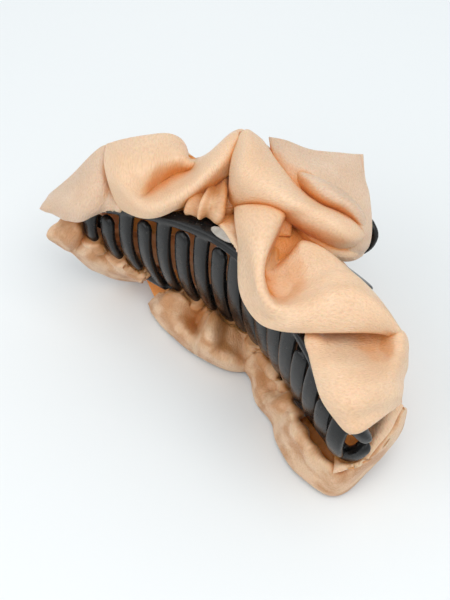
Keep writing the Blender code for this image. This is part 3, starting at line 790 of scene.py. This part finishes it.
LOOP_AND_LOBE = [
    [(-8.5, -14.5, 49.5), (-4, -18.5, 50.5), (1, -22, 49.5), (4, -25, 47), (8.5, -29, 45),
     (13.5, -31.5, 44.5), (20, -33, 45), (25.5, -31, 46), (31.5, -25.5, 46), (36, -19, 44.5),
     (39.5, -13.5, 42.5), (42, -9.5, 39.5)],
    [(-5, -14, 52.5), (-0.5, -18, 54), (4.5, -22.5, 54), (9, -26.5, 51.5), (13, -29.5, 49.5),
     (16, -31, 48), (21, -31.5, 47.5), (26.5, -29.5, 48.5), (30.5, -24, 48.5), (35, -18, 47.5),
     (39, -13, 45.5), (42.5, -10, 41.5)],
    [(0, -11.5, 54), (3.5, -16.5, 56), (8, -22.5, 56.5), (12, -27, 55), (15.5, -30, 53), (18, -31, 51),
     (21.5, -31, 49.5), (26.5, -27.5, 50), (29, -21.5, 50.5), (33, -16, 49.5), (38.5, -12, 46.5),
     (43, -10, 42)],
    [(3.5, -9.5, 53), (6.5, -15.5, 55), (9.5, -21, 55.5), (12.5, -26, 54.5), (16, -29.5, 53.5),
     (19, -30.5, 51.5), (22, -29.5, 50), (25, -25, 50), (27.5, -19, 51), (31, -14, 50.5), (37.5, -11, 47),
     (43.5, -10, 42)],
    [(2, -8, 50), (4.5, -12.5, 50.5), (6.5, -17.5, 50), (9, -22.5, 48.5), (12.5, -25, 46.5),
     (16, -26.5, 46), (20, -26, 47), (23, -22, 49), (25.5, -16.5, 51), (29, -12, 50.5), (36.5, -10, 46.5),
     (44, -10, 41.5)],
    [(1.5, -6.5, 47.5), (3.5, -11, 47.5), (6, -16, 47), (10, -22.5, 48), (12.5, -24, 47),
     (15.5, -24.5, 46.5), (18.5, -22, 46), (21, -18.5, 48.5), (23.5, -13.5, 50.5), (28, -10.5, 50),
     (35, -9, 45.5), (44, -9.5, 40.5)],
    [(1, -5, 45.5), (3, -10, 45.2), (5.5, -15, 44.8), (11, -21.5, 47.5), (13, -22.5, 47.5),
     (15, -21, 46.5), (17, -18.5, 47.5), (18.5, -15, 49.5), (22, -12, 50.8), (27, -10, 49.5),
     (33.5, -7, 43), (43.5, -8.5, 39)],
    [(0.5, -3.5, 43.5), (3, -8.5, 43.2), (6, -13.5, 43), (10, -18.5, 45.3), (11.5, -18, 47),
     (12.5, -16.5, 48.8), (12.5, -13.5, 50), (13, -11.5, 50.8), (19, -10, 50.8), (25.5, -8.5, 47.5),
     (32.5, -5, 40), (43, -7.5, 36.5)],
    [(0, -2.5, 42), (3, -7, 41.8), (6, -12.5, 41.5), (8.5, -15.5, 42), (9.5, -14.5, 42.5),
     (10.5, -12.5, 43.5), (10.5, -10, 44.5), (11, -8, 45), (17, -7, 45), (24.5, -6.5, 43),
     (31.5, -3.5, 37), (42, -6, 34)],
]
ROLL_UNDERSIDE = [
    [(-2.5, -2.5, 43.5), (1, -2, 44), (5.5, -1.5, 44), (10.5, -0.5, 43.5), (14, 3, 42), (15, 7.5, 40)],
    [(2, -5, 45.5), (6.5, -5.5, 46.5), (11, -5.5, 46.5), (14.5, -3, 45), (16.5, 1, 43), (17.5, 6.5, 41)],
    [(6, -6, 45), (10, -6.5, 46), (13.5, -5.5, 45.5), (16, -3.5, 44), (18, 0.5, 42), (18, 6.5, 40)],
    [(8, -6, 43.5), (11.5, -6, 44), (14.5, -4.5, 43), (16.5, -2, 41.5), (18, 1.5, 40), (18, 6, 38.5)],
    [(8, -5, 41), (11, -4.5, 41), (14, -2.5, 40), (16, -0.5, 39), (17.5, 2.5, 38), (17.5, 6, 37)],
]
END_LOBE = [
    [(28, -26.5, 44.5), (29, -20.5, 40.5), (33, -15, 39), (37.5, -9.5, 39.5), (42, -9.5, 43),
     (43.5, -8, 39)],
    [(29.5, -28.5, 44), (32, -23.5, 41.5), (35.5, -17.5, 39), (39.5, -12.5, 38), (43.5, -11, 42.5),
     (45, -9, 38)],
    [(32, -30, 43.5), (35.5, -26.5, 42.5), (38.5, -20.5, 39.5), (42, -15, 37.5), (45.5, -13, 40.5),
     (46, -10, 36)],
    [(34.5, -31.5, 42.5), (39, -29, 43.5), (42.5, -24.5, 42), (45.5, -19, 39.5), (47, -15, 39),
     (47.5, -11.5, 34.5)],
    [(37.5, -33, 41), (42.5, -32, 43), (46.5, -28.5, 43), (48.5, -23, 41), (49, -18.5, 38.5),
     (48.5, -14, 34)],
    [(41, -34.5, 39), (46, -34, 41.5), (49, -30.5, 42), (50.5, -24.5, 39.5), (51, -20.5, 37.5),
     (50, -16, 33.5)],
    [(45.5, -35, 37), (49, -34, 38.5), (50.5, -30, 39), (51.5, -24, 37), (51.5, -21, 35.5),
     (51, -17.5, 32.5)],
    [(48.5, -35, 35.8), (51, -34, 37), (52, -30, 37.5), (52, -24, 35.5), (52, -21.5, 34.5),
     (51.5, -18, 32)],
    [(50.5, -35, 35), (52, -32.5, 35.8), (52.5, -29, 36), (52.5, -24, 34.5), (52.5, -21.5, 33.5),
     (52, -18.5, 31.5)],
]
REAR_FLAP = [
    [(-19, 8, 52), (-12, 2.5, 53), (-3, -1, 51), (5, -3.5, 46.5), (12, -4, 42), (13.5, -2, 39)],
    [(-14.5, 9.5, 52.8), (-6.5, 4.5, 54.5), (0, 3, 52.5), (8.5, 0.5, 47.5), (15, -2.5, 43),
     (15.5, -0.5, 38.5)],
    [(-8.5, 12.5, 51.5), (-1.5, 8, 53.5), (6, 3.5, 54), (12.5, 3, 50.5), (17, 0, 44), (16.5, 1, 38.5)],
    [(-3.5, 18.5, 50), (3.5, 13, 51.5), (10.5, 8, 51.5), (16, 5.5, 48.5), (18.5, 3.5, 43.5), (18, 3, 39)],
    [(0, 23.5, 48.5), (6.5, 17.5, 49), (11, 14.5, 48), (16.5, 9.5, 44.5), (18.5, 7, 41.5), (18, 6, 39)],
]
LOWER_LEFT = [
    [(-57.5, -42.5, 21), (-57.5, -42, 22), (-57, -40.5, 24), (-55, -38.5, 26.5), (-54.5, -36, 27)],
    [(-56, -40.5, 18), (-54, -40.5, 22), (-53, -38.5, 25), (-51.5, -36.5, 27.5), (-51.5, -34, 27)],
    [(-54.5, -39, 15.5), (-51.5, -39, 20.5), (-49, -38, 25), (-48.5, -35.5, 27), (-50.5, -32.5, 25)],
    [(-53.5, -37, 13), (-51.5, -37, 16), (-50, -35, 19.5), (-50, -33, 21), (-50, -31, 21)],
    [(-51.5, -36, 10), (-47, -37, 17.5), (-44, -36, 22.5), (-44, -34, 23.5), (-46.5, -31, 20)],
    [(-49.5, -34.5, 7), (-44, -36, 16.5), (-44, -33.5, 18), (-43, -32, 20), (-43.5, -29.5, 18.5)],
    [(-47.5, -32, 4.5), (-43, -33.5, 12.5), (-41.5, -32.5, 15.5), (-41, -30.5, 17.5),
     (-40.5, -28.5, 17.5)],
    [(-45.5, -30, 2.5), (-40.5, -31.5, 11), (-37.5, -31.5, 16.5), (-37, -29.5, 17.5), (-37.5, -27, 16)],
    [(-43, -27.5, 1.5), (-39.5, -28.5, 8), (-35.5, -29.5, 14.5), (-34.5, -27.5, 15.5), (-34, -25.5, 15)],
    [(-41, -25, 1), (-33.5, -29, 12.5), (-33, -28, 14), (-31.5, -26.5, 15), (-31.5, -24, 14)],
    [(-31.5, -28, 12.5), (-31, -27.5, 13.5), (-30.5, -26.5, 14), (-29.5, -25, 14), (-29.5, -22.5, 13)],
]
LOWER_MIDDLE = [
    [(-31.5, -28, 1.2), (-29.5, -27.5, 4), (-28, -26, 6.5), (-25, -26, 11), (-24, -24, 12.5)],
    [(-31, -28, 0.8), (-28, -28, 5), (-26, -27, 8.5), (-24, -26, 11.5), (-23.5, -23.5, 12.5)],
    [(-29, -29, 0.8), (-26, -28.5, 6.5), (-23.5, -28, 11), (-22.5, -26, 12.5), (-22.5, -23, 12.5)],
    [(-27.5, -29.5, 0.8), (-23.5, -29.5, 8), (-21.5, -28.5, 12.5), (-21, -25.5, 13.5),
     (-21.5, -21.5, 12.5)],
    [(-22.5, -30.5, 0.8), (-19, -30, 8), (-18, -27.5, 11), (-17.5, -25, 13.5), (-18.5, -20.5, 12)],
    [(-17, -30.5, 0.8), (-14, -30.5, 8), (-15.5, -26, 7.5), (-15.5, -23, 10), (-15, -20, 11.5)],
    [(-11.5, -30.5, 0.8), (-9, -30.5, 8), (-12, -25.5, 5.5), (-12, -22, 9.5), (-11.5, -19.5, 11.5)],
    [(-6, -29.5, 0.8), (-3.5, -30.5, 9), (-3.5, -29, 13.5), (-6.5, -23.5, 13.5), (-8, -19, 11)],
    [(-2, -28.5, 0.8), (0.5, -29.5, 9), (-1.5, -26, 9.5), (-4, -21.5, 11), (-4, -18.5, 11)],
    [(2, -27, 0.8), (4, -27.5, 8), (1.5, -24.5, 8.5), (-0.5, -20.5, 10), (0.5, -18, 11)],
    [(4.5, -25, 0.8), (5.5, -25, 5), (4.5, -23, 7.5), (3.5, -20.5, 9.5), (4.5, -18.5, 11)],
    [(6, -23.5, 1.5), (7, -23.5, 4), (7, -23, 7), (8, -21.5, 10.5), (8.5, -19.5, 11)],
]
LOWER_RIGHT = [
    [(5, -24, 2.5), (6, -24, 6), (6, -22.5, 8), (6.5, -20.5, 10), (7, -18, 11)],
    [(9, -24.5, 1), (11, -24.5, 5), (12.5, -22.5, 6.5), (14, -21.5, 9), (15, -20.5, 11)],
    [(12.5, -27, 0.8), (15.5, -27.5, 5.5), (16.5, -25.5, 7), (17.5, -23.5, 9), (18.5, -22, 11)],
    [(16, -29, 0.8), (18, -28, 5.5), (19.5, -25.5, 6.5), (21.5, -24.5, 9.5), (22, -23, 11)],
    [(20, -29.5, 0.8), (23, -30, 8.5), (25, -29.5, 12.5), (26, -27.5, 13.5), (25.5, -24, 11)],
    [(23.5, -30.5, 0.8), (27, -30.5, 9), (28, -29.5, 12), (30, -30, 15), (30, -27.5, 12)],
    [(27, -33, 0.8), (30, -33, 10), (31, -32, 14), (32, -31.5, 15), (31, -29.5, 11)],
    [(30.5, -34.5, 0.8), (34, -34.5, 11), (35, -34.5, 15), (35.5, -33, 16), (35, -31, 12)],
    [(35.5, -36, 0.8), (38, -35, 10), (39, -35.5, 14), (39.5, -34.5, 16), (39, -33, 12)],
    [(40, -36, 0.8), (41.5, -35.5, 8.5), (42.5, -35.5, 12), (42.5, -34.5, 14), (42.5, -33, 10.5)],
    [(45.5, -35.5, 0.8), (46, -35, 7), (46, -34.5, 11), (46, -34, 13), (45, -32.5, 9)],
    [(48.5, -34, 0.8), (48.5, -34, 5), (48.5, -34, 9), (48, -33.5, 11), (47.5, -32.5, 9)],
    [(50, -30.5, 1), (50, -31, 5.5), (49.5, -31.5, 9.5), (49, -31, 10.8), (48, -30, 8.5)],
    [(50.5, -25, 3.2), (50.5, -26.5, 8), (50.5, -28, 11.5), (50, -28.5, 13.3), (49, -27.5, 11)],
    [(51, -19.5, 6.5), (51.5, -21.5, 11), (51.5, -23, 14.5), (51.5, -24, 15.8), (50.5, -23, 13.5)],
    [(51, -13.5, 11), (51.5, -15.5, 14.5), (51.5, -17, 17.5), (51, -18, 18.5), (50, -17, 16)],
    [(49, -9.5, 16), (49.5, -10.5, 18), (49.5, -12, 20), (49.5, -12, 20), (48.5, -11, 18)],
]
LOWER_END = [
    [(48, -35, 12.8), (47, -33.5, 13), (45, -31, 12), (43.5, -28, 10), (42, -24, 8)],
    [(49.5, -33.5, 14), (48.5, -32.5, 15), (47, -30, 14), (45, -26.5, 11), (43.5, -23, 9)],
    [(51, -31.5, 15.8), (50, -30.5, 17), (49, -28.5, 15.7), (47, -24.5, 12), (44, -21, 9)],
    [(52.5, -28.5, 18), (51.5, -28, 19.5), (50.5, -26, 18.3), (47.5, -22, 14), (44.5, -19, 11)],
    [(52.5, -25, 20), (51.5, -24.5, 21.5), (50, -23, 20.8), (46.5, -19.5, 16), (43, -16.5, 12)],
    [(52.5, -21, 22), (51.5, -21, 23.3), (49.5, -20, 22.8), (46, -17, 18), (42.5, -14, 14)],
    [(51.5, -17, 23), (50, -17, 23.8), (48, -16, 23), (44.5, -13, 18), (41, -10.5, 14)],
    [(50.5, -13.5, 23), (49.5, -13.5, 23.3), (47.5, -12.5, 22), (44, -10.5, 18), (41, -8, 14)],
]
UPPER_ROLL = [
    [(-10.5, 5, 48.5), (-10, 5.5, 49.5), (-8.5, 6.5, 50), (-6, 8, 50), (-3.5, 9.5, 49)],
    [(-5, 2.5, 50.5), (-3.5, 3, 52.5), (-2, 3, 53.6), (0.5, 5, 53), (2.5, 7, 51)],
    [(0, 1.5, 50.5), (3, 1, 54), (4.5, 2, 55.5), (6.5, 4, 54.6), (8.5, 7, 52)],
    [(5.5, 1.5, 49.5), (8, 1, 53.5), (10, 2, 55), (11, 4.5, 53.5), (12.5, 7, 51)],
    [(10, 3.5, 48.5), (12, 3, 52), (13.5, 3.5, 53.5), (14.5, 5.5, 51.5), (15, 7.5, 48.5)],
    [(13.5, 4.5, 47), (14.5, 4.5, 49), (16, 4.5, 50), (16.5, 5.5, 48.5), (16.5, 6.5, 46)],
    [(15, 6, 44), (15.5, 6, 45), (16, 6, 45.5), (16.5, 6.5, 44.5), (16, 7, 43)],
]

# Small folds, each by its four corners and how far its middle bulges, in millimetres
LOOP_TAB = ((-8, -8, 50), (0, -19, 48.5), (3, -5, 50), (7, -10, 47.5), (0, 0, 1.5))
LOOP_LEFT_FLAP = ((-9, -8, 45), (-10, -20, 47), (4, -16, 45.5), (2, -23, 47.5), (1, 0, 1.5))
LOOP_INNER_FLAP = ((-2, -7, 47), (9, -24, 46.5), (10, -5, 45), (14, -14, 41.5), (-1, -1, 1.8))
REAR_HEM = ((-7, 16, 49), (5, 8, 49.5), (0, 25, 47.8), (8, 17, 46), (0, 0, 0.5))
# The recess and the slit are patches of painted shade, in the lining's painted orange
LOWER_RECESS = ((-39, -23, 2.5), (-29, -17, 10), (-25, -28, 0.6), (-20, -17, 6), (0, 0, 0))
LOWER_SLIT = ((29, -29, 8), (35, -17, 12), (46, -32, 9), (48, -21, 13), (0, 0, 0.3))

# Sheet inside the clip behind the left teeth, in the lining's painted orange of shade and glow
LINING_LEFT = [
    [(-54, -31, 38), (-54, -29, 34.5), (-53.5, -27, 27.5), (-53, -26, 19)],
    [(-47, -26.5, 41), (-47, -25.5, 36.5), (-47, -25, 28.5), (-47, -24, 18)],
    [(-38, -22.5, 44), (-38, -21.5, 39), (-38, -21, 31), (-38, -20.5, 21)],
    [(-30, -19.5, 46), (-30, -18.5, 41), (-30, -18, 33.5), (-30, -18, 25)],
    [(-22, -17.5, 46.5), (-22, -16.5, 42), (-22, -16, 36.5), (-22, -16, 31)],
]
# Back edge of the upper ruffle, each point with how far the cloth hangs below it
BACK_EDGE = [
    (-55.5, -34, 36, 10), (-52.5, -28.5, 42, 13), (-52.5, -21.5, 44, 14), (-48.5, -17.5, 46, 14),
    (-43.5, -13.5, 48, 14), (-40, -9, 48, 13), (-36, -7.5, 47, 12), (-27, -7, 47, 11),
    (-25, -3.5, 50, 11), (-23.5, 5.5, 51, 10), (-17, 6.5, 51, 10), (-9.5, 10, 51, 10),
    (-3, 16.5, 50, 10), (1, 21.5, 48, 10),
]
BACK_END = [
    [(7.5, 17, 44), (8, 18, 42), (8, 18.5, 40), (8, 18, 38)],
    [(13.5, 9.5, 42.5), (14, 10.5, 41), (14, 11, 39.5), (14, 10.5, 38)],
]
LOWER_BASE = [
    [(-52, -31, 15), (-52.5, -28, 14.5), (-52, -24, 15), (-50, -20, 16), (-49, -18, 19), (-48.5, -18, 22)],
    [(-45, -28, 9.5), (-46, -24, 9), (-46, -17, 9.5), (-44, -11, 12), (-43.5, -8.5, 15.5),
     (-43.5, -9, 19)],
    [(-34, -24, 5.5), (-35, -18, 5), (-35, -10, 5.5), (-33, -3, 8), (-32.5, 0.5, 12), (-32, 0, 16.5)],
    [(-22, -21, 3), (-22, -14, 2.5), (-22, -4, 3), (-20, 4, 5.5), (-19.5, 8, 9), (-19, 8, 13.5)],
    [(-10, -19, 2), (-10, -11, 2), (-8, 2, 3), (-6, 13, 5.5), (-6, 16.5, 8), (-6, 17.5, 11)],
    [(0, -18, 2), (0, -9, 2), (1, 4, 3.5), (2, 15, 6), (2, 17.5, 8.5), (2, 18, 11.5)],
    [(10, -19, 2), (10, -11, 2), (10, 2, 3), (12, 13, 5.5), (12, 16, 8.5), (12, 17, 11.5)],
    [(22, -21, 3), (22, -14, 3), (22, -4, 3), (22, 5, 5.5), (22.5, 9, 9.5), (23, 9, 14)],
    [(34, -25, 5.5), (35, -18, 5), (35, -10, 5), (34, -2, 8), (34, 1.5, 12), (34, 1.5, 16)],
    [(45, -30, 10), (46, -24, 9.5), (46, -18, 9.5), (45, -11, 11.5), (45, -9, 14.5), (45, -9, 18)],
    [(51, -30, 14), (52, -26, 13.5), (52, -21, 13.5), (51, -15, 14), (50.5, -15, 16), (50, -15, 18)],
]


def to_half(value):
    """Value to the nearest half."""
    return round(value * 2) / 2


def hanging_back():
    """Rows that hang from BACK_EDGE, bellied out a little, and the rows at its right end."""
    rows = [[(x, y, to_half(z - 1)), (x, y + 1.5, to_half(z - 0.4 * drop)),
             (x, y + 1, to_half(z - 0.7 * drop)), (x, y - 1, to_half(z - drop))]
            for x, y, z, drop in BACK_EDGE]
    return rows + BACK_END


def declare(piece, body):
    """Attaches a piece of satin to its body."""
    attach(piece, body)


# ---------------- build

def build_hard_parts():
    """Jaws, spring, pin and glue in their finishes; gives back the jaws."""
    black = black_plastic()
    bright = steel("pin_steel", (0.66, 0.66, 0.68), 0.24)
    wire = steel("wire_steel", (0.60, 0.60, 0.62), 0.30)
    glue = set_glue()
    upper_slots = range(-LAST_SLOT, LAST_SLOT + 1, 2)
    lower_slots = range(1 - LAST_SLOT, LAST_SLOT, 2)
    upper = make_jaw("upper_moulding", 1, upper_slots, UPPER_LUG_X, black)
    lower = make_jaw("lower_moulding", -1, lower_slots, LOWER_LUG_X, black)
    jaws = [upper, lower]
    for jaw, body, node in ((upper, UPPER, "jaw_upper"), (lower, LOWER, "jaw_lower")):
        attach(jaw, body)
        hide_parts(node)
    spring = make_spring(wire)
    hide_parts("torsion_spring")
    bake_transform(spring)
    for name, node in frame["nodes"].items():
        for slot in node.material_slots:
            if name == "hinge_pin":
                slot.material = bright
            elif name.startswith("glue"):
                slot.material = glue
    return jaws


def build_satin(jaw_pieces):
    """Both ruffles, fold by fold, over the finished jaws."""
    open_look = (85.0, 0.13, 0.26)
    shaded_look = (120.0, 0.08, 0.14)
    # Finishes: the open satin, and painted shaded copies of it for the back pieces, which face away from
    # the light, and for the lower ruffle, which lies in the clip's shade; its broad brown patches are
    # painted shade on the sheen. The lining's orange is painted shade and glow.
    upper_satin = satin("satin_upper", SATIN_WARM, SATIN_PALE, SATIN_FOLD_SHADE, *open_look)
    back_shaded_satin = satin("satin_back_painted_shade", SATIN_BACK_SHADED_WARM, SATIN_BACK_SHADED_PALE, SATIN_FOLD_SHADE, *open_look)
    lining_glow_satin = satin("satin_lining_painted_glow", SATIN_FOLD_SHADE, SATIN_WARM, SATIN_PAINTED_GLOW, *open_look)
    lower_shaded_satin = satin("satin_lower_painted_shade", SATIN_SHADED, SATIN_SHADED_PALE, SATIN_LOWER_FOLD_SHADE, *shaded_look)
    jaws = tree_of(jaw_pieces)
    upper = {
        # The wing, the upper roll, the rear flap and the rear hem take the painted shaded back copy
        "wing_left": (WING_LEFT, dict(
            finish=back_shaded_satin, puff=4.0, gathers=("front", 2, 0.5, 8.0))),
        "lobe_and_arm": (LOBE_AND_ARM, dict(puff=3.0)),
        # The tuft takes the lower ruffle's painted shaded copy
        "tuft": (TUFT, dict(
            finish=lower_shaded_satin, puff=1.0, wrinkle=0.5, least_shade=0.1,
            gathers=("start", 4, 1.9, 11.0))),
        "hood_and_roll": (HOOD_AND_ROLL, dict(puff=3.0)),
        "loop_and_lobe": (LOOP_AND_LOBE, dict(puff=0.5)),
        "loop_tab": (patch(*LOOP_TAB), dict(thick=0.6, puff=0.2)),
        "loop_left_flap": (patch(*LOOP_LEFT_FLAP), dict(puff=0.5)),
        "loop_inner_flap": (patch(*LOOP_INNER_FLAP), dict(thick=0.5, puff=0.0, least_shade=0.1)),
        "upper_roll": (UPPER_ROLL, dict(finish=back_shaded_satin, puff=0.6)),
        # The lining's orange is painted shade and glow, held at a high floor of painted fold shade
        "lining_left": (LINING_LEFT, dict(
            finish=lining_glow_satin, thick=0.6, puff=0.3, wrinkle=0.6, least_shade=0.85,
            gathers=("front", 5, 0.7, 12.0))),
        "upper_back": (hanging_back(), dict(
            thick=0.6, puff=0.3, wrinkle=0.5, gathers=("front", 16, 0.6, 9.0))),
        "roll_underside": (ROLL_UNDERSIDE, dict(puff=0.5)),
        "end_lobe": (END_LOBE, dict(puff=2.0)),
        "rear_flap": (REAR_FLAP, dict(finish=back_shaded_satin, puff=2.5)),
        "rear_hem": (patch(*REAR_HEM), dict(finish=back_shaded_satin, thick=0.5, puff=0.0)),
    }
    lower = {
        "lower_left": (LOWER_LEFT, dict(
            puff=1.0, wrinkle=0.3, size=11.0, gathers=("back", 5, 0.45, 8.0))),
        "lower_middle": (LOWER_MIDDLE, dict(
            puff=1.0, wrinkle=0.3, size=11.0, gathers=("back", 6, 0.6, 9.0))),
        "lower_right": (LOWER_RIGHT, dict(
            puff=1.0, wrinkle=0.35, size=11.0, gathers=("back", 11, 0.5, 7.0))),
        # lower_end is lit, so it takes the open colours instead of the painted shaded copy
        "lower_end": (LOWER_END, dict(finish=upper_satin, thick=0.6, puff=0.3)),
        # The recess and the slit are painted shade: patches in the lining's painted orange
        "lower_recess": (patch(*LOWER_RECESS), dict(
            finish=lining_glow_satin, thick=0.5, puff=0.2, least_shade=0.8)),
        "lower_slit": (patch(*LOWER_SLIT), dict(
            finish=lining_glow_satin, thick=0.5, puff=0.2, least_shade=0.95)),
        # The base, seen through the gaps, is held at a floor of painted fold shade
        "lower_base": (LOWER_BASE, dict(
            puff=0.6, wrinkle=0.7, size=6.0, least_shade=0.35, gathers=("back", 16, 0.6, 9.0))),
    }
    made = []
    for pieces, finish, body, jaw, node in (
            (upper, upper_satin, UPPER, "jaw_upper", "ruffle_upper"),
            (lower, lower_shaded_satin, LOWER, "jaw_lower", "ruffle_lower")):
        for name, (ribs, more) in pieces.items():
            more.setdefault("finish", finish)
            piece = cloth("satin_" + name, ribs, jaws=jaws, seed=len(made) + 1, **more)
            declare(piece, body)
            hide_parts(node)
            made.append(piece)
    paint_fold_shade(made, jaw_pieces)


def build_stage():
    """Pale table top, just below the clip."""
    shape = bmesh.new()
    bmesh.ops.create_grid(shape, x_segments=1, y_segments=1, size=FLOOR_HALF)
    made, tree, shader, coords = nodes_of("table_top")
    haze = texture(tree, "Noise", coords, Scale=3.0, Detail=1.0)["Fac"]
    colour = ramp(tree, haze, [(0.3, (0.80, 0.83, 0.84)), (0.7, (0.84, 0.86, 0.865))])
    fill(tree, shader, Base_Color=colour, Roughness=0.55, Specular_IOR_Level=0.25)
    floor = add_shape("floor", shape, made)
    floor.location.z = -FLOOR_DROP


def add_light(name, power, colour, place):
    """Square soft light that points at the clip."""
    data = bpy.data.lights.new(name, "AREA")
    data.size = LIGHT_SIZE
    data.energy = power
    data.color = colour
    light = bpy.data.objects.new(name, data)
    bpy.context.scene.collection.objects.link(light)
    light.location = place
    light.rotation_euler = (Vector(TARGET) - Vector(place)).to_track_quat("-Z", "Y").to_euler()


def build_light_and_camera():
    """Pale surroundings, a window, a fill light, and the camera above the front right."""
    scene = bpy.context.scene
    world = bpy.data.worlds.new("studio")
    world.use_nodes = True
    background = world.node_tree.nodes["Background"]
    background.inputs["Color"].default_value = SKY
    background.inputs["Strength"].default_value = SKY_STRENGTH
    scene.world = world
    add_light(*WINDOW)
    add_light(*FILL)
    scene.view_settings.view_transform = "Standard"
    camera = bpy.data.objects.new("camera", bpy.data.cameras.new("camera"))
    scene.collection.objects.link(camera)
    level = math.cos(CAMERA_ELEVATION)
    back = Vector((math.sin(CAMERA_AZIMUTH) * level, -math.cos(CAMERA_AZIMUTH) * level,
                   math.sin(CAMERA_ELEVATION)))
    camera.location = Vector(TARGET) + back * CAMERA_DISTANCE
    camera.rotation_euler = (-back).to_track_quat("-Z", "Y").to_euler()
    camera.data.sensor_fit = "VERTICAL"
    camera.data.sensor_height = SENSOR
    camera.data.sensor_width = SENSOR
    camera.data.lens = LENS
    camera.data.shift_x, camera.data.shift_y = SHIFT
    camera.data.clip_start = 0.01
    scene.camera = camera


build_satin(build_hard_parts())
build_stage()
build_light_and_camera()
